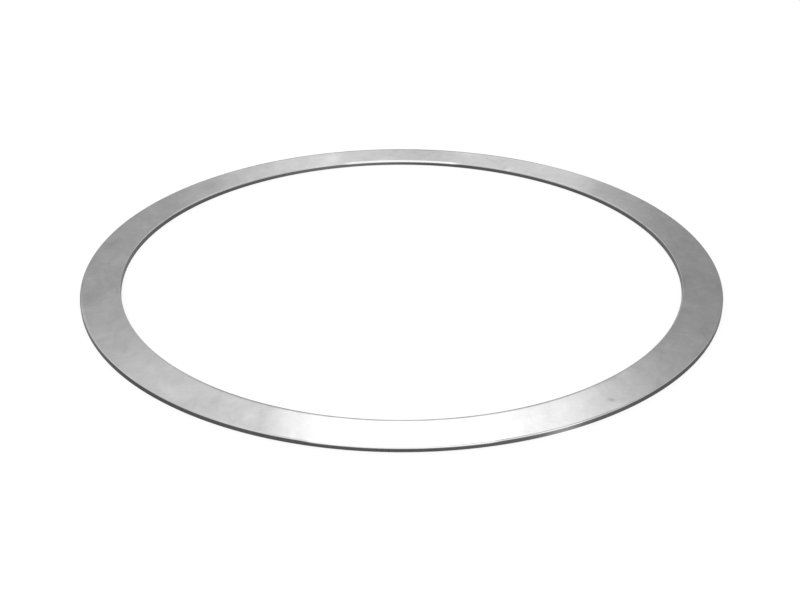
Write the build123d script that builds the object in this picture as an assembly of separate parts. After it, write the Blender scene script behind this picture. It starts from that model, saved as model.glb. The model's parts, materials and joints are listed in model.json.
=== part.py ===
from build123d import *
from math import pi
import os

# A shim ring: a flat steel ring that takes up end play beside a bearing.
# It is blanked in one piece from bright cold-rolled strip. The punch enters from
# above, so it rolls the two upper edges round, and the burr it leaves on the two
# lower edges is broken with a small chamfer.
# Millimetres. +Z is the ring's axis, and its lower face lies on Z = 0.

# Driving dimensions
BORE_DIAMETER = 100.0
OUTER_DIAMETER = 114.0
THICKNESS = 1.0
EDGE_ROUND = 0.2
DEBURR_CHAMFER = 0.15

# Worked out from them
BAND_WIDTH = (OUTER_DIAMETER - BORE_DIAMETER) / 2
MEAN_RADIUS = (OUTER_DIAMETER + BORE_DIAMETER) / 4


def band_section():
    """The band cut across: the strip end-on, upper corners rounded and lower ones chamfered."""
    with BuildSketch(Plane.XZ) as section:
        with Locations((MEAN_RADIUS, THICKNESS / 2)):
            Rectangle(BAND_WIDTH, THICKNESS)
        fillet(section.vertices().group_by(Axis.Y)[-1], EDGE_ROUND)
        chamfer(section.vertices().group_by(Axis.Y)[0], DEBURR_CHAMFER)
    return section.sketch


def shim_ring():
    """The section turned once about the axis, which makes both faces, the bore and the rim."""
    with BuildPart() as ring:
        add(band_section())
        revolve(axis=Axis.Z)
    return ring.part


def check_against_formula(ring):
    """Pappus: a turned volume is the section's area times the path of its centre."""
    expected = band_section().area * 2 * pi * MEAN_RADIUS
    print(f"volume {ring.volume:.2f} mm3, by Pappus {expected:.2f} mm3")
    print(f"faces {len(ring.faces())}, size {ring.bounding_box().size}")


shim = shim_ring()
shim.label = "shim_ring"
check_against_formula(shim)

os.makedirs("parts", exist_ok=True)
export_step(shim, "parts/shim_ring.step")
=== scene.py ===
# %% [markdown]
# # A shim ring of bright cold-rolled steel
#
# A shim ring is a thin flat ring that takes up end play beside a bearing. The solid
# model already has its exact form, so this lesson is about the surface: how a plain
# steel ring is given edges that catch the light, two finishes that meet at those
# edges, and a studio for it to mirror, because bright metal shows mostly its room.

import json
from math import pi, radians

import bpy
import numpy as np
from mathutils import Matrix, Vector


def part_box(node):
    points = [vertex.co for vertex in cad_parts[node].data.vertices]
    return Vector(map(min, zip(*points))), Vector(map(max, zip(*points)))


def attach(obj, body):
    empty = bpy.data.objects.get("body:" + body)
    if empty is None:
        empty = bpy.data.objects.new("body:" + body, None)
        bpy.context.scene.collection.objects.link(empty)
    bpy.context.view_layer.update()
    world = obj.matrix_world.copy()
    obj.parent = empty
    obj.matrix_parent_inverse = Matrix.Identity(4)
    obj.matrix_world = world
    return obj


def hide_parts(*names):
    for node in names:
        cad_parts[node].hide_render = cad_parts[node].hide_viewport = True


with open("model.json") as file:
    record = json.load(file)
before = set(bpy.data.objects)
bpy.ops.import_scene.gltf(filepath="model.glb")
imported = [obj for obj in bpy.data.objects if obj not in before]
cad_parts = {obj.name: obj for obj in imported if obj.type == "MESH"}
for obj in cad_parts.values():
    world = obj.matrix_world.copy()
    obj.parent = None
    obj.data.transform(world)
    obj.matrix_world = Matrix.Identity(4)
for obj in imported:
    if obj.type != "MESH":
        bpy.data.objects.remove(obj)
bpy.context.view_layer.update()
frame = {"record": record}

# %% [markdown]
# ## The ring's own dimensions
#
# The ring's size is read from the solid itself. The two round mounts give the
# radius of the bore and of the rim, and the solid's box gives the thickness. The two
# edge sizes are the part's own: a punch enters from above and rolls the upper edges
# round, and the burr it leaves below is broken with a small chamfer.

# %% Read the dimensions
mounts = {mount["name"]: mount for mount in frame["record"]["mounts"]}
BORE_RADIUS = mounts["shaft_bore"]["dims"]["r_mm"] / 1000
RIM_RADIUS = mounts["housing_rim"]["dims"]["r_mm"] / 1000
ring_low, ring_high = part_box("shim_ring")
THICKNESS = ring_high[2] - ring_low[2]
EDGE_ROUND = 0.0002
DEBURR_CHAMFER = 0.00015
print(f"radii in metres: rim {RIM_RADIUS:.5f}, bore {BORE_RADIUS:.5f}; thickness {THICKNESS:.5f}")

# %% [markdown]
# ## The band's section, as a closed profile
#
# The ring could be bevelled from a cylinder, but then the rows would follow the
# modifier and not the steel. A profile carried round the axis is exact: each point
# of the section has a place of its own, so rows can be packed where the form turns
# and spread where it is flat. A flat stretch also gets a row just inside each end,
# so that smooth shading doesn't bend the flat near an edge. The profile runs
# anticlockwise with the radius to the right, and so the faces point outwards.

# %% Work out the profile
ROUND_STEPS, WALL_STEPS, TOP_STEPS, UNDERSIDE_STEPS = 8, 8, 16, 4
HOLDING_ROW = 0.00002


def quarter_round(centre_r, centre_z, start):
    """A quarter circle: centre + EDGE_ROUND * (cos t, sin t), for t from start to start + 90 degrees."""
    t = start + np.linspace(0, pi / 2, ROUND_STEPS + 1)
    return np.stack([centre_r + EDGE_ROUND * np.cos(t), centre_z + EDGE_ROUND * np.sin(t)], axis=1)


def flat(first, last, steps):
    """Points from first to last without the two ends: even steps, and a holding row inside each end."""
    first, last = np.array(first), np.array(last)
    hold = HOLDING_ROW / np.hypot(*(last - first))
    t = np.concatenate([[hold], np.linspace(0, 1, steps + 1)[1:-1], [1 - hold]])[:, None]
    return first * (1 - t) + last * t


def band_profile():
    """The section's outline, as rows of (radius, height), once round without a repeated point."""
    e, c = EDGE_ROUND, DEBURR_CHAMFER
    rim_round = quarter_round(RIM_RADIUS - e, THICKNESS - e, 0)
    bore_round = quarter_round(BORE_RADIUS + e, THICKNESS - e, pi / 2)
    rim_foot, rim_toe = [RIM_RADIUS, c], [RIM_RADIUS - c, 0]
    bore_foot, bore_toe = [BORE_RADIUS, c], [BORE_RADIUS + c, 0]
    return np.concatenate([
        [rim_foot], flat(rim_foot, rim_round[0], WALL_STEPS), rim_round,
        flat(rim_round[-1], bore_round[0], TOP_STEPS), bore_round,
        flat(bore_round[-1], bore_foot, WALL_STEPS), [bore_foot, bore_toe],
        flat(bore_toe, rim_toe, UNDERSIDE_STEPS), [rim_toe],
    ])


profile = band_profile()
print(f"the profile has {len(profile)} points")

# %% [markdown]
# ## The ring, as one closed surface
#
# The surface is a function of two parameters: one runs round the profile and the
# other round the axis. Both close on themselves, so the grid wraps both ways and
# there is no seam to weld. Edges that turn by more than 30 degrees, which are only
# those of the chamfers, are kept sharp in the shading.

# %% Turn the profile into a mesh
TURNS = 1200
SHARP_ANGLE = radians(30)


def turned_points(outline, angles):
    """The outline of (r, z) carried round Z: the point at angle v is (r cos v, r sin v, z)."""
    r, z = outline[:, 0], outline[:, 1]
    return np.stack([np.outer(np.cos(angles), r), np.outer(np.sin(angles), r),
                     np.tile(z, (len(angles), 1))], axis=-1)


def wrapped_quads(rows, columns):
    """Faces of a grid that closes on itself both ways; the point (i, j) has the index i * columns + j."""
    i, j = np.meshgrid(np.arange(rows), np.arange(columns), indexing="ij")
    next_i, next_j = (i + 1) % rows, (j + 1) % columns
    return np.stack([i * columns + j, next_i * columns + j,
                     next_i * columns + next_j, i * columns + next_j], axis=-1)


def new_piece(name, points, quads):
    """Puts the points and faces into a mesh whose object sits at the origin."""
    mesh = bpy.data.meshes.new(name)
    mesh.from_pydata(points.reshape(-1, 3).tolist(), [], quads.reshape(-1, 4).tolist())
    mesh.shade_smooth()
    piece = bpy.data.objects.new(name, mesh)
    bpy.context.collection.objects.link(piece)
    return piece


ring_points = turned_points(profile, np.linspace(0, 2 * pi, TURNS, endpoint=False))
ring = new_piece("bright_ring", ring_points, wrapped_quads(TURNS, len(profile)))
ring.data.set_sharp_from_angle(angle=SHARP_ANGLE)
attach(ring, "root")
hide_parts("shim_ring")
print(f"ring mesh: {len(ring.data.vertices)} points, {2 * len(ring.data.polygons)} triangles")

# %% [markdown]
# ## Where each finish lies
# The rolled faces are bright and the cut walls are dull, with a dark tint that is partly painted shade;
# the change comes on the edge round, where the punch stopped rolling the edge and began to cut. On top of
# that, light and shade are painted by the way the edges face. Walls that face -Y, towards the front, keep
# the bright face tint further down, and a short stretch that faces the front squarely
# gets a painted highlight, past the foot of the round. Most of the bore's edge gets
# painted shade, and the edges that face away from the front get a thin painted dark
# line.
# lee keep a thin dark line of oil.
#
# A mask could be painted by hand, but how deep a point lies, how near it is to a
# wall, and which way that wall faces say all of this. Formulas of those three
# measures give the finish and the painted light at every point, and the mesh gets them as two attributes.

# %% Tools for soft steps and attributes


def smooth_step(x, start, end):
    """0 before start and 1 after end, with 3t^2 - 2t^3 between; start may be the larger."""
    t = np.clip((x - start) / (end - start), 0, 1)
    return t * t * (3 - 2 * t)


def mixed(first, second, share):
    """first where share is 0 and second where it is 1."""
    return first + (second - first) * share


def set_attribute(piece, name, values):
    """Gives each point of the piece's mesh a number that its material can read."""
    layer = piece.data.attributes.new(name, "FLOAT", "POINT")
    layer.data.foreach_set("value", values.ravel())


print("a soft step from 0 to 1, read at a quarter:", smooth_step(0.25, 0, 1))

# %% Measure where each point lies
# This measure is 1 on a wall that faces -Y, towards the front, and -1 on one that faces away; the
# stretches that face the front squarely get a painted highlight.
# A SPAN, here and below, says where a soft step starts and ends.
GLINT_SPAN = (0.966, 0.976)

surface_points = ring_points.reshape(-1, 3)
radius = np.hypot(surface_points[:, 0], surface_points[:, 1])
height = surface_points[:, 2]
on_rim = radius > (RIM_RADIUS + BORE_RADIUS) / 2
wall_gap = np.where(on_rim, RIM_RADIUS - radius, radius - BORE_RADIUS)
faces_front = np.where(on_rim, -1, 1) * surface_points[:, 1] / radius
glint_share = smooth_step(faces_front, *GLINT_SPAN)
print(f"{(glint_share > 0.5).mean():.0%} of the points are in the two burnished stretches")

# %% Mark the cut walls and their painted shade
# A CUT is how far below the top the dull wall, with its painted shade, begins, and a FOOT is how high it
# ends, in metres. A pair goes from walls turned partly towards the front to walls that face it, which
# keep the bright face tint further down as painted light.
RIM_CUT, RIM_CUT_SPAN = (0.00006, 0.00018), (0.6, 1.0)
BORE_CUT, BORE_CUT_SPAN = (0.00012, 0.00021), (0.4, 0.8)
GLINT_CUT = 0.00026
FOOT, GLINT_FOOT = 0.00003, 0.00012
CUT_SOFTNESS = 0.4


def past(x, place):
    """0 before a place and 1 past it, changing softly from 1 - CUT_SOFTNESS to 1 + CUT_SOFTNESS of it."""
    return smooth_step(x, place * (1 - CUT_SOFTNESS), place * (1 + CUT_SOFTNESS))


def cut_wall_and_shade_share():
    """1 on the cut wall and its painted shade, from the depth where it begins, which grows towards the
    front, down to its foot.
    """
    rim_cut = mixed(*RIM_CUT, smooth_step(faces_front, *RIM_CUT_SPAN))
    bore_cut = mixed(*BORE_CUT, smooth_step(faces_front, *BORE_CUT_SPAN))
    begins = mixed(np.where(on_rim, rim_cut, bore_cut), GLINT_CUT, glint_share)
    foot = mixed(FOOT, GLINT_FOOT, glint_share)
    return past(THICKNESS - height, begins) * past(height, foot)


cut_wall_and_shade = cut_wall_and_shade_share()
set_attribute(ring, "cut_wall_and_shade", cut_wall_and_shade)
print(f"{(cut_wall_and_shade > 0.5).mean():.0%} of the points lie on the cut walls")

# %% Paint highlights and shade along the upper edges
# A tone is the painted light or shade that an edge adds to the face's own. A line is so many edge rounds
# wide, and has its full tone up to FULL_SHARE of that width.
BORE_SHADE, TURNED_AWAY_SHADE, GLINT_TONE = -0.38, -0.75, 0.7
BORE_SHADE_SPAN, TURNED_AWAY_SPAN = (1.0, 0.4), (-0.45, -1.05)
RIM_SHEEN, RIM_SHEEN_SPAN = 0.4, (0.86, 0.97)
TURNED_AWAY_WIDTH, SHEEN_WIDTH = 1.5, 1.3
FULL_SHARE = 0.7


def painted_edge_light():
    """Painted light along each upper edge: shade along the bore, a dark line where the edge faces away
    from the front, and a highlight where it faces the front.
    """
    turned_away = smooth_step(faces_front, *TURNED_AWAY_SPAN)
    bore_shade = np.where(on_rim, 0.0, BORE_SHADE * smooth_step(faces_front, *BORE_SHADE_SPAN))
    rim_sheen = RIM_SHEEN * smooth_step(faces_front, *RIM_SHEEN_SPAN)
    sheen = np.where(on_rim, mixed(rim_sheen, 1.0, glint_share), glint_share)
    tone = mixed(mixed(bore_shade, TURNED_AWAY_SHADE, turned_away), GLINT_TONE, sheen)
    width = EDGE_ROUND * mixed(mixed(1.0, TURNED_AWAY_WIDTH, turned_away), SHEEN_WIDTH, sheen)
    return tone * smooth_step(wall_gap, width, width * FULL_SHARE) * (height > THICKNESS / 2)


painted_edge_lights = painted_edge_light()
set_attribute(ring, "painted_edge_light", painted_edge_lights)
print(f"edge tones from {painted_edge_lights.min():+.2f} to {painted_edge_lights.max():+.2f}")

# %% [markdown]
# ## Marks from handling, and painted light on the edges
#
# Noise alone makes every inch alike. A real ring has marks of its own, where it was
# wiped, held or set down, so a table places them one by one. They could be painted on
# an image, but soft spots are easier to move and need no unwrapping. A spot's tone
# falls off as a bell curve along the band and across it, and a slant makes it a
# wisp. A second table paints highlights and shade on the edges and walls. The underside,
# at height 0, has none. The sum goes into the mesh as one
# more attribute.

# %% Place the marks
# angle in degrees from +X, share across the band from the bore, length and width in mm, slant, tone
FACE_MARKS = (
    # from +X towards +Y
    (8.0, 0.50, 2.5, 3.0, 0.0, -0.05), (18.3, 0.04, 1.0, 0.9, 0.0, 0.12),
    (23.0, 0.30, 1.2, 2.5, 0.2, 0.05), (42.5, 0.55, 1.2, 3.5, 0.4, 0.07),
    (62.0, 0.60, 3.0, 4.0, 0.3, 0.06), (63.0, 0.14, 0.5, 0.9, 0.0, 0.20),
    (64.4, 0.12, 0.25, 0.5, 0.0, -0.25), (70.0, 0.86, 8.0, 0.8, 0.0, 0.08),
    (76.0, 0.08, 8.0, 2.0, 0.0, -0.10), (84.0, 0.93, 3.5, 0.8, 0.0, -0.09),
    # from +Y towards -X
    (88.0, 0.55, 10.0, 4.5, 0.0, -0.15), (94.0, 0.12, 2.8, 2.0, 0.0, 0.13),
    (106.0, 0.50, 1.8, 3.8, -0.5, 0.18), (107.5, 0.93, 0.9, 0.9, 0.0, -0.12),
    (110.0, 0.50, 7.0, 6.0, 0.0, 0.04), (115.5, 0.85, 0.9, 2.0, -0.5, 0.05),
    (119.8, 0.50, 1.1, 3.2, -0.5, 0.06), (121.5, 0.75, 1.5, 2.5, -0.2, -0.07),
    (126.0, 0.15, 1.3, 1.8, -0.2, -0.08), (128.0, 0.40, 1.5, 2.0, -0.3, 0.06),
    (131.0, 0.70, 5.0, 4.0, -0.3, 0.06), (138.5, 0.50, 2.0, 1.8, -0.3, -0.12),
    (145.0, 0.50, 5.0, 5.0, -0.3, 0.09), (161.5, 0.25, 1.0, 1.0, 0.0, 0.08),
    (171.5, 0.75, 2.0, 1.2, 0.0, -0.13), (177.5, 0.12, 2.0, 2.0, 0.0, 0.11),
    # from -X towards -Y
    (185.5, 0.50, 3.5, 4.0, 0.0, 0.05), (185.5, 0.75, 0.4, 1.3, 0.0, 0.12),
    (193.5, 0.60, 2.5, 1.6, 0.2, -0.10), (196.0, 0.55, 1.0, 2.5, 0.0, -0.04),
    (207.5, 0.80, 0.8, 1.4, 0.2, 0.07), (213.5, 0.40, 1.0, 3.0, 0.1, -0.03),
    (220.0, 0.95, 3.0, 1.0, 0.0, -0.06), (228.5, 0.40, 2.8, 3.0, 0.3, -0.08),
    (230.0, 0.72, 2.4, 1.2, 0.9, 0.14), (241.0, 0.25, 2.0, 1.2, 0.0, 0.06),
    (245.4, 0.45, 1.7, 5.0, 0.0, 0.16), (248.8, 0.30, 0.8, 2.2, 0.0, 0.06),
    # from -Y back to +X
    (294.0, 0.60, 1.0, 2.2, -0.3, -0.02), (297.5, 0.20, 3.0, 2.2, -0.3, 0.09),
    (300.0, 0.40, 2.2, 1.6, -0.4, 0.04), (304.8, 0.10, 1.2, 2.4, 0.0, 0.11),
    (305.0, 0.95, 1.8, 1.3, 0.0, 0.14), (305.2, 0.67, 0.4, 0.5, 0.3, -0.38),
    (306.0, 0.50, 0.8, 0.9, 0.3, -0.09), (313.5, 0.12, 1.8, 1.5, 0.0, 0.13),
    (320.0, 0.25, 2.5, 2.0, -0.2, 0.07), (325.0, 0.60, 1.0, 3.5, 0.3, -0.09),
    (328.0, 0.95, 4.0, 0.8, 0.0, -0.10), (330.0, 0.05, 3.5, 1.2, 0.0, -0.08),
    (333.5, 0.70, 2.0, 1.4, 0.0, -0.10), (343.5, 0.15, 1.2, 2.2, 0.0, 0.07),
    (352.0, 0.60, 1.2, 2.0, -0.3, 0.06),
)
EDGE_SHEEN_AND_SHADE = (
    # painted highlight: a line just inside the rim, and the wall of the rim
    (199.0, 0.97, 7.0, 0.12, 0.0, 0.25), (294.3, 1.00, 3.0, 0.06, 0.0, 2.0),
    (292.0, 1.00, 12.0, 0.06, 0.0, 0.4),
    # painted shade: the wall of the rim
    (218.0, 1.00, 18.0, 0.06, 0.0, -0.35), (328.0, 1.00, 14.0, 0.06, 0.0, -0.35),
    # painted highlight: the wall of the bore
    (103.0, 0.00, 16.0, 0.06, 0.0, 0.6),
)
print(f"{len(FACE_MARKS)} marks on the face and {len(EDGE_SHEEN_AND_SHADE)} on the edges and walls")

# %% Add the marks and the painted edge light up


def mark_and_edge_light_tones(points):
    """Sum of tone * exp(-(s / length)^2 - (a / width)^2), s along the band and a across it, in mm."""
    angle = np.degrees(np.arctan2(points[:, 1], points[:, 0]))
    across = np.hypot(points[:, 0], points[:, 1]) - BORE_RADIUS
    total = np.zeros(len(points))
    for mark_angle, share, length, width, slant, tone in FACE_MARKS + EDGE_SHEEN_AND_SHADE:
        a = (across - share * (RIM_RADIUS - BORE_RADIUS)) * 1000
        turn = (angle - mark_angle + 180) % 360 - 180
        s = np.radians(turn) * (BORE_RADIUS + across) * 1000 - slant * a
        total += tone * np.exp(-(s / length) ** 2 - (a / width) ** 2)
    return total


marks_and_edge_light = mark_and_edge_light_tones(surface_points) * (height > 0)
set_attribute(ring, "marks_and_edge_light", marks_and_edge_light)
print(f"tones of the marks from {marks_and_edge_light.min():+.2f} to {marks_and_edge_light.max():+.2f}")

# %% [markdown]
# ## Node helpers
#
# Materials are built from a few kinds of node. They could be placed and wired by hand
# in the editor, but in code a recipe reads from top to bottom. Short helpers keep it
# readable: they add a node and fill its sockets, feed one socket from another, make a
# group with named inputs and outputs, do sums, read an attribute and make noise.

# %% Helpers for any node


def add(tree, kind, settings=None, **sockets):
    """Adds a node; settings are its properties, and each named socket gets its plain value."""
    node = tree.nodes.new(kind)
    for key, value in (settings or {}).items():
        setattr(node, key, value)
    for key, value in sockets.items():
        node.inputs[key.replace("_", " ")].default_value = value
    return node


def feed(tree, value, socket):
    """Gives an input socket its value: a link from an output socket, or a plain number."""
    if isinstance(value, (int, float)):
        socket.default_value = value
    else:
        tree.links.new(value, socket)


def new_group(name, inputs, outputs):
    """An empty shader group; inputs and outputs are {socket name: "Float", "Vector" or "Color"}."""
    group = bpy.data.node_groups.new(name, "ShaderNodeTree")
    for side, sockets in (("INPUT", inputs), ("OUTPUT", outputs)):
        for socket, kind in sockets.items():
            group.interface.new_socket(socket, in_out=side, socket_type=f"NodeSocket{kind}")
    return group, add(group, "NodeGroupInput"), add(group, "NodeGroupOutput")


print("helpers for any node:", add.__name__, feed.__name__, new_group.__name__)

# %% Helpers for values
# A Mix node has sockets for every kind of value; these three are for plain numbers.
MIX_SHARE, MIX_FIRST, MIX_SECOND = 0, 2, 3


def calculate(tree, operation, first, second):
    """A Math node on two values, each an output socket or a number."""
    node = add(tree, "ShaderNodeMath", {"operation": operation})
    feed(tree, first, node.inputs[0])
    feed(tree, second, node.inputs[1])
    return node.outputs[0]


def blend(tree, share, first, second):
    """A Mix node on plain numbers: first where share is 0 and second where it is 1."""
    node = add(tree, "ShaderNodeMix", {"data_type": "FLOAT"})
    feed(tree, share, node.inputs[MIX_SHARE])
    feed(tree, first, node.inputs[MIX_FIRST])
    feed(tree, second, node.inputs[MIX_SECOND])
    return node.outputs[0]


def attribute(tree, name):
    """The number that the mesh has at each point under this name."""
    return add(tree, "ShaderNodeAttribute", {"attribute_name": name}).outputs["Fac"]


def drawn_out(tree, place, scale):
    """The place times a scale for each axis, which draws a pattern out where the scale is under 1."""
    node = add(tree, "ShaderNodeMapping", Scale=scale)
    feed(tree, place, node.inputs["Vector"])
    return node.outputs["Vector"]


def noise(tree, place, per_metre, detail, roughness, distortion=0.0):
    """Noise from 0 to 1 with a mean near a half, whose largest spots are 1 / per_metre metres."""
    node = add(tree, "ShaderNodeTexNoise", Scale=per_metre, Detail=detail,
               Roughness=roughness, Distortion=distortion)
    feed(tree, place, node.inputs["Vector"])
    return node.outputs["Fac"]


print("helpers for values:", calculate.__name__, blend.__name__, attribute.__name__, noise.__name__)

# %% [markdown]
# ## Clouds left by oil and handling
#
# Cold-rolled steel leaves the mill with a film of oil, and tumbling and wiping break
# it into soft grey clouds. They are about 2 mm across, on broader ones of about 1 cm,
# and all are drawn out a little along Y, the way of the cloth. They could be painted,
# but noise of two sizes gives as many as the ring needs, with no seam anywhere.

# %% Build the clouds
ALONG_THE_CLOTH = (1.0, 0.7, 1.0)
FINE_CLOUDS, BROAD_CLOUDS = 450, 100


def clouds_group():
    """Clouds = half noise at 2.2 mm and half noise at 10 mm, both warped."""
    group, entry, leave = new_group("oil clouds", {"Vector": "Vector"}, {"Clouds": "Float"})
    place = drawn_out(group, entry.outputs["Vector"], ALONG_THE_CLOTH)
    fine = noise(group, place, FINE_CLOUDS, detail=4, roughness=0.66, distortion=0.9)
    broad = noise(group, place, BROAD_CLOUDS, detail=2, roughness=0.5, distortion=0.6)
    halves = [calculate(group, "MULTIPLY", clouds, 0.5) for clouds in (fine, broad)]
    feed(group, calculate(group, "ADD", *halves), leave.inputs["Clouds"])
    return group


oil_clouds = clouds_group()
print(f"group: {oil_clouds.name}, with {len(oil_clouds.nodes)} nodes")

# %% [markdown]
# ## Grain from the rolls
#
# The rolls are ground, and the strip takes their fine lines along its length, here
# along X. A wave texture would draw them too evenly. Noise drawn out along X gives
# uneven lines about a tenth of a millimetre apart. From a normal distance they only
# soften the shine; close to, they show which way the strip ran.

# %% Build the rolling grain
ALONG_THE_STRIP = (0.08, 1.0, 0.08)
ROLL_LINES = 8000


def grain_group():
    """Grain = noise of 0.12 mm across the strip, 12 times as long, between 0 and 1."""
    group, entry, leave = new_group("rolling grain", {"Vector": "Vector"}, {"Grain": "Float"})
    place = drawn_out(group, entry.outputs["Vector"], ALONG_THE_STRIP)
    lines = noise(group, place, ROLL_LINES, detail=2, roughness=0.6)
    feed(group, lines, leave.inputs["Grain"])
    return group


rolling_grain = grain_group()
print(f"group: {rolling_grain.name}, with {len(rolling_grain.nodes)} nodes")

# %% [markdown]
# ## Streaks on a sheared wall
#
# A punch scores the wall it cuts with fine upright streaks. They could follow UVs
# unrolled round the wall, but noise that hardly changes with height makes them on
# any upright wall, whichever way it faces.

# %% Build the shear streaks
UPRIGHT = (1.0, 1.0, 0.07)
SCORES = 4000


def streaks_group():
    """Streaks = noise of 0.25 mm round the wall, 14 times as tall, between 0 and 1."""
    group, entry, leave = new_group("shear streaks", {"Vector": "Vector"}, {"Streaks": "Float"})
    place = drawn_out(group, entry.outputs["Vector"], UPRIGHT)
    scores = noise(group, place, SCORES, detail=2, roughness=0.55)
    feed(group, scores, leave.inputs["Streaks"])
    return group


shear_streaks = streaks_group()
print(f"group: {shear_streaks.name}, with {len(shear_streaks.nodes)} nodes")

# %% [markdown]
# ## The finish: bright faces, dull walls
#
# Both finishes are the same steel. They could be two materials, but then the change
# on the edge round would be a hard line, so one material carries both and the
# attribute of the cut walls and their painted shade blends them. Bare metal has no coat: its base colour
# is the tint of what it mirrors, and its roughness says how sharply it mirrors. The walls' tint is much
# darker than the face's: partly their dull finish, partly painted shade for the dark surroundings they
# seem to mirror. The face's tint is lightened and darkened by the clouds, the grain, the marks and the
# painted highlights and shade of the edges, and the wall's by the streaks, the marks and the painted
# highlights and shade.

# %% Mix the tint
# The wall tint is partly the dull cut finish and partly painted shade, much darker than the walls' mirror
# of the pale floor would make them.
FACE_TINT, SHADED_WALL_TINT = 0.56, 0.10
CLOUD_TONE, GRAIN_TONE, STREAK_TONE = 0.75, 0.10, 0.6


def place_group(tree, group, place):
    """Adds a group to a material, feeds it the piece's own coordinates and returns its output."""
    node = add(tree, "ShaderNodeGroup", {"node_tree": group})
    feed(tree, place, node.inputs["Vector"])
    return node.outputs[0]


def centred(tree, value, amount):
    """amount * (value - 0.5), so that a mask with a mean of a half neither lightens nor darkens."""
    return calculate(tree, "MULTIPLY", calculate(tree, "SUBTRACT", value, 0.5), amount)


def steel_tint(tree, place, wall_and_shade, clouds, grain):
    """Face tint * (1 + clouds + grain + marks + painted edge light) to the darker, partly painted wall
    tint * (1 + streaks + marks), by the wall mask; the marks include painted light on the edges and
    walls.
    """
    marked_and_edge_lit = calculate(tree, "ADD", attribute(tree, "marks_and_edge_light"), 1.0)
    mottle = calculate(tree, "ADD", centred(tree, clouds, CLOUD_TONE), centred(tree, grain, GRAIN_TONE))
    face = calculate(tree, "ADD", calculate(tree, "ADD", mottle, marked_and_edge_lit), attribute(tree, "painted_edge_light"))
    streaks = place_group(tree, shear_streaks, place)
    wall = calculate(tree, "ADD", centred(tree, streaks, STREAK_TONE), marked_and_edge_lit)
    tint = blend(tree, wall_and_shade, calculate(tree, "MULTIPLY", face, FACE_TINT),
                 calculate(tree, "MULTIPLY", wall, SHADED_WALL_TINT))
    grey = add(tree, "ShaderNodeCombineColor")
    for channel in ("Red", "Green", "Blue"):
        feed(tree, tint, grey.inputs[channel])
    return grey.outputs["Color"]


print(f"tints: face {FACE_TINT}, wall {SHADED_WALL_TINT}")

# %% Mix the roughness and the relief
FACE_ROUGHNESS, WALL_ROUGHNESS, CLOUD_ROUGHNESS = 0.10, 0.50, 0.10
WAVES, WAVE_HEIGHT, GRAIN_HEIGHT = 80, 0.000004, 0.00000015


def steel_roughness(tree, wall_and_shade, clouds):
    """Face roughness, a little more where the clouds are light, and wall roughness, mixed by the mask of
    the cut walls, which also carries their painted shade.
    """
    face = calculate(tree, "ADD", centred(tree, clouds, CLOUD_ROUGHNESS), FACE_ROUGHNESS)
    return blend(tree, wall_and_shade, face, WALL_ROUGHNESS)


def steel_normal(tree, place, grain):
    """Height in metres: a wave of 4 micrometres every 12 mm, and 0.15 micrometre of grain."""
    wave = calculate(tree, "MULTIPLY", noise(tree, place, WAVES, detail=1, roughness=0.4), WAVE_HEIGHT)
    lines = calculate(tree, "MULTIPLY", grain, GRAIN_HEIGHT)
    bump = add(tree, "ShaderNodeBump", Strength=1.0, Distance=1.0)
    feed(tree, calculate(tree, "ADD", wave, lines), bump.inputs["Height"])
    return bump.outputs["Normal"]


print(f"roughness: face {FACE_ROUGHNESS}, wall {WALL_ROUGHNESS}")

# %% Put the steel together


def cold_rolled_steel():
    """One Principled metal whose tint, roughness and normal come from the recipes above."""
    material = bpy.data.materials.new("cold-rolled steel")
    material.use_nodes = True
    tree = material.node_tree
    surface = tree.nodes["Principled BSDF"]
    surface.inputs["Metallic"].default_value = 1.0
    place = add(tree, "ShaderNodeTexCoord").outputs["Object"]
    wall_and_shade = attribute(tree, "cut_wall_and_shade")
    clouds = place_group(tree, oil_clouds, place)
    grain = place_group(tree, rolling_grain, place)
    feed(tree, steel_tint(tree, place, wall_and_shade, clouds, grain), surface.inputs["Base Color"])
    feed(tree, steel_roughness(tree, wall_and_shade, clouds), surface.inputs["Roughness"])
    feed(tree, steel_normal(tree, place, grain), surface.inputs["Normal"])
    return material


ring.data.materials.append(cold_rolled_steel())
print("the ring wears", ring.data.materials[0].name)

# %% [markdown]
# ## The studio that the steel mirrors
#
# A bright face shows one small patch of the room for each place on it, so the room
# decides where the ring is light. This one is a white tent, lit evenly from outside,
# with a grey panel on each side of the far wall, a soft box that hangs high behind
# the ring, and a dark band along the foot of the far wall, which gives the edges
# that turn away a thin dark line. Lamps would show as spots in the steel. A tent
# whose own surface glows by a formula shows none, and can be made as one more
# surface of two parameters.

# %% Work out how the walls glow
# Spans are in degrees: of bearing, from +Y towards +X, and of rise, from level upwards.
WALL_GLOW, LEFT_PANEL, RIGHT_PANEL, FOOT_BAND = 1.02, 0.555, 0.43, 0.15
LEFT_SPAN, LEFT_END_SPAN = (-5.5, -12), (-60, -45)
RIGHT_SPAN, RIGHT_SPILL, RIGHT_END_SPAN = (8.9, 10.9), (9.5, 16), (60, 45)
RIGHT_SHARPNESS = 0.5
FOOT_TOP_SPAN, FOOT_END_SPAN = (14, 9), (60, 45)


def spilt_edge(x, sharpness, span, spill):
    """A sharp step over its span, and the rest of a softer one, like an edge with light spilt past it."""
    return sharpness * smooth_step(x, *span) + (1 - sharpness) * smooth_step(x, *spill)


def wall_glow(bearing):
    """The white wall, with a grey panel on each side of its middle."""
    left = smooth_step(bearing, *LEFT_SPAN) * smooth_step(bearing, *LEFT_END_SPAN)
    right = spilt_edge(bearing, RIGHT_SHARPNESS, RIGHT_SPAN, RIGHT_SPILL)
    right *= smooth_step(bearing, *RIGHT_END_SPAN)
    return mixed(mixed(WALL_GLOW, LEFT_PANEL, left), RIGHT_PANEL, right)


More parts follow.
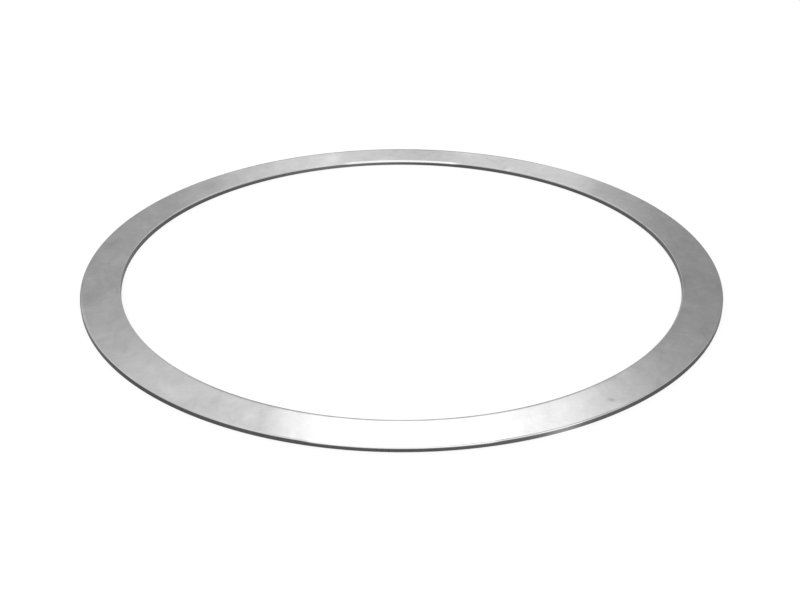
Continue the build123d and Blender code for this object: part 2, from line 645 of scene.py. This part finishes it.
def foot_share(bearing, rise):
    """1 in the dark band along the foot of the far wall."""
    return smooth_step(rise, *FOOT_TOP_SPAN) * smooth_step(np.abs(bearing), *FOOT_END_SPAN)


print("glow of the far wall at -30, 0 and 30 degrees:", wall_glow(np.array([-30, 0, 30])))

# %% Work out how the ceiling glows
# Spans are of side and along: how far to +X and to +Y a point lies on a flat ceiling
# 1 m up. CEILING_SPAN is of rise, in degrees. LEAST_RISE keeps the places finite for
# directions near level.
CEILING, SHADED_CEILING, SOFT_BOX = 1.0, 0.7, 2.2
SHADE_SPAN, CEILING_SPAN = (-0.1, 0.4), (27.5, 33)
BOX_LEFT_SPAN, BOX_LEFT_SPILL = (-0.197, -0.182), (-0.165, -0.05)
BOX_RIGHT_SPAN, BOX_RIGHT_SPILL = (0.19, 0.155), (0.42, 0.22)
BOX_LEFT_SHARPNESS, BOX_RIGHT_SHARPNESS = 0.55, 0.4
BOX_FAR_SPAN, BOX_NEAR_SPAN = (1.62, 1.5), (0.75, 0.95)
LEAST_RISE = 0.01


def box_share(side, along):
    """1 inside the soft box and 0 outside it."""
    left = spilt_edge(side, BOX_LEFT_SHARPNESS, BOX_LEFT_SPAN, BOX_LEFT_SPILL)
    right = spilt_edge(side, BOX_RIGHT_SHARPNESS, BOX_RIGHT_SPAN, BOX_RIGHT_SPILL)
    return left * right * smooth_step(along, *BOX_FAR_SPAN) * smooth_step(along, *BOX_NEAR_SPAN)


def tent_glow(direction):
    """Glow by direction: the walls, the ceiling above 30 degrees or so, then the box and the foot."""
    x, y, z = np.moveaxis(direction, -1, 0)
    bearing, rise = np.degrees(np.arctan2(x, y)), np.degrees(np.arcsin(z))
    side, along = x / np.maximum(z, LEAST_RISE), y / np.maximum(z, LEAST_RISE)
    ceiling = mixed(CEILING, SHADED_CEILING, smooth_step(side, *SHADE_SPAN))
    glow = mixed(wall_glow(bearing), ceiling, smooth_step(rise, *CEILING_SPAN))
    glow = mixed(glow, SOFT_BOX, box_share(side, along))
    return mixed(glow, FOOT_BAND, foot_share(bearing, rise))


print(f"glow overhead: {tent_glow(np.array([0.0, 0.0, 1.0])):.2f}")

# %% [markdown]
# ## The tent
#
# The tent is a dome with a radius of 3 m that stands on the floor. It could be an
# image wrapped round the world, but a formula needs no file. Its grid starts just
# below level and stops just short of the top, where faces would shrink to nothing.
# It lights the ring and shows in the steel, but isn't seen directly, so every view
# keeps a plain white background.

# %% Hang the tent
TENT_RADIUS = 3.0
DOME_BEARINGS, DOME_RISES = 720, 180
DOME_FOOT, DOME_TOP = radians(-1), pi / 2 - 0.001


def dome_directions():
    """Unit directions (sin b cos h, cos b cos h, sin h), b once round and h from the foot to the top."""
    b = np.linspace(0, 2 * pi, DOME_BEARINGS, endpoint=False)[:, None]
    h = np.linspace(DOME_FOOT, DOME_TOP, DOME_RISES)[None, :]
    return np.stack([np.sin(b) * np.cos(h), np.cos(b) * np.cos(h), np.sin(h) + 0 * b], axis=-1)


def open_quads(rows, columns):
    """Faces of a grid that closes on itself by rows and is open by columns."""
    return wrapped_quads(rows, columns)[:, :-1]


directions = dome_directions()
tent = new_piece("tent", directions * TENT_RADIUS, open_quads(DOME_BEARINGS, DOME_RISES))
set_attribute(tent, "glow", tent_glow(directions))
tent.visible_camera = False
print(f"tent: {len(tent.data.polygons)} faces")

# %% Make the tent glow
WHITE = (1, 1, 1, 1)


def glowing_cloth():
    """White emission as strong as the mesh's glow, which bounced rays find and no lamp samples."""
    material = bpy.data.materials.new("glowing cloth")
    material.use_nodes = True
    tree = material.node_tree
    tree.nodes.clear()
    glow = add(tree, "ShaderNodeEmission", Color=WHITE)
    feed(tree, attribute(tree, "glow"), glow.inputs["Strength"])
    feed(tree, glow.outputs[0], add(tree, "ShaderNodeOutputMaterial").inputs["Surface"])
    material.cycles.emission_sampling = "NONE"
    return material


tent.data.materials.append(glowing_cloth())
print("the tent is made of", tent.data.materials[0].name)

# %% [markdown]
# ## The floor and the background
#
# The floor is matt and pale, and lies a hair below the ring, so that the two surfaces
# don't coincide. Seen directly or in the steel it is carried most of the way to white
# by a glow of its own, and the rest stays matt, so it still takes the ring's shadow.
# More light would whiten it too, but would also wash out the steel. The world is
# plain white and is all that shows beyond the floor.

# %% Lay the floor
FLOOR_DROP = 0.00002
FLOOR_MARGIN = 1.01
MATT, SEEN_MATT, SEEN_GLOW = 0.8, 0.2, 0.85


def seen_directly(tree):
    """1 for rays from the camera, from a mirror or through glass, and 0 for the light itself."""
    paths = add(tree, "ShaderNodeLightPath")
    seen = calculate(tree, "MAXIMUM", paths.outputs["Is Camera Ray"], paths.outputs["Is Glossy Ray"])
    return calculate(tree, "MAXIMUM", seen, paths.outputs["Is Transmission Ray"])


def pale_floor():
    """Plain matt as a source of light, and a fainter matt plus a glow where it is seen."""
    material = bpy.data.materials.new("pale floor")
    material.use_nodes = True
    tree = material.node_tree
    tree.nodes.clear()
    matt = add(tree, "ShaderNodeBsdfDiffuse", Color=(MATT, MATT, MATT, 1))
    faint = add(tree, "ShaderNodeBsdfDiffuse", Color=(SEEN_MATT, SEEN_MATT, SEEN_MATT, 1))
    glow = add(tree, "ShaderNodeEmission", Color=WHITE, Strength=SEEN_GLOW)
    seen, choice = add(tree, "ShaderNodeAddShader"), add(tree, "ShaderNodeMixShader")
    feed(tree, faint.outputs[0], seen.inputs[0])
    feed(tree, glow.outputs[0], seen.inputs[1])
    feed(tree, seen_directly(tree), choice.inputs[0])
    feed(tree, matt.outputs[0], choice.inputs[1])
    feed(tree, seen.outputs[0], choice.inputs[2])
    feed(tree, choice.outputs[0], add(tree, "ShaderNodeOutputMaterial").inputs["Surface"])
    return material


reach = TENT_RADIUS * FLOOR_MARGIN
floor_corners = np.array([[-reach, -reach], [reach, -reach], [reach, reach], [-reach, reach]])
floor = new_piece("floor", np.insert(floor_corners, 2, -FLOOR_DROP, axis=1), np.array([[0, 1, 2, 3]]))
floor.data.materials.append(pale_floor())
print(f"floor: {2 * reach:.1f} m square")

# %% Make the world white
world = bpy.data.worlds.new("white background")
world.use_nodes = True
background = world.node_tree.nodes["Background"]
background.inputs["Color"].default_value = WHITE
background.inputs["Strength"].default_value = 1.0
bpy.context.scene.world = world
bpy.context.scene.view_settings.view_transform = "Standard"
print("world:", world.name)

# %% [markdown]
# ## The camera
#
# The ring is looked at from above and in front, close enough for the near side of
# the band to look a good deal wider than the far side. A longer lens from further
# off would flatten that.

# %% Set up the camera
CAMERA_POINT = (-0.00026, -0.20265, 0.10369)
CAMERA_PITCH = radians(28.469)
LENS = 56.264
NEAREST_SEEN = 0.005

camera_data = bpy.data.cameras.new("camera")
camera_data.lens = LENS
camera_data.clip_start = NEAREST_SEEN
camera = bpy.data.objects.new("camera", camera_data)
camera.location = CAMERA_POINT
camera.rotation_euler = (pi / 2 - CAMERA_PITCH, 0, 0)
bpy.context.collection.objects.link(camera)
bpy.context.scene.camera = camera
print("camera at", CAMERA_POINT, "with a lens of", LENS, "mm")
